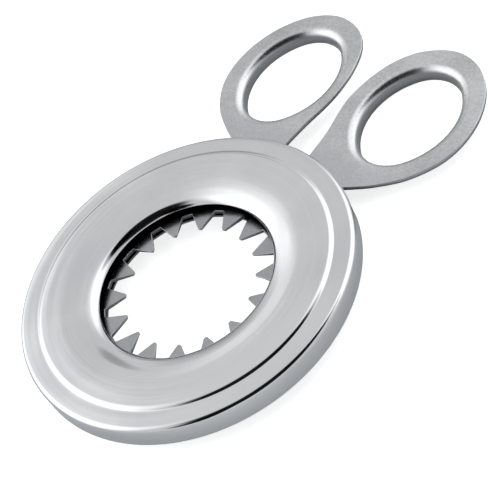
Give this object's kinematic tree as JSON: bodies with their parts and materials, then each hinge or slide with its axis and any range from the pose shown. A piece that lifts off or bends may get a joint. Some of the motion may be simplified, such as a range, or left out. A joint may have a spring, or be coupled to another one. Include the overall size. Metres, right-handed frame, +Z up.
{
  "type": "egg topper",
  "caption": "Stainless egg topper: a round pressed casing with a funnel opening, and two ringed lever handles that swing toothed jaws into it.",
  "frame": {"origin": "centre of the round opening in the bottom pan, on the pan's underside", "axes": "+Z up out of the pressed cover, +Y towards the handles, +X to the right-hand lever"},
  "size_m": [0.085, 0.129, 0.0098],
  "materials": {
    "cover_steel": "polished stainless steel",
    "pan_steel": "plain mill finish stainless steel",
    "lever_steel": "tumbled satin stainless steel",
    "rivet_steel": "turned and upset steel",
    "washer_steel": "punched steel"
  },
  "bodies": {
    "casing": {"top_cover": "cover_steel", "bottom_pan": "pan_steel", "pivot_rivet": "rivet_steel", "pivot_washer": "washer_steel", "right_guide_rivet": "rivet_steel", "left_guide_rivet": "rivet_steel", "left_guide_spacer": "washer_steel"},
    "right_arm": {"right_lever": "lever_steel"},
    "left_arm": {"left_lever": "lever_steel"}
  },
  "joints": [
    {"name": "right_swing", "type": "hinge", "parent": "casing", "child": "right_arm", "pos_m": [0, -0.0323, 0.0012], "axis": [0, 0, -1], "range_deg": [-1, 5.5]},
    {"name": "left_swing", "type": "hinge", "parent": "casing", "child": "left_arm", "pos_m": [0, -0.0323, 0.00235], "axis": [0, 0, 1], "range_deg": [-1, 5.5]}
  ]
}
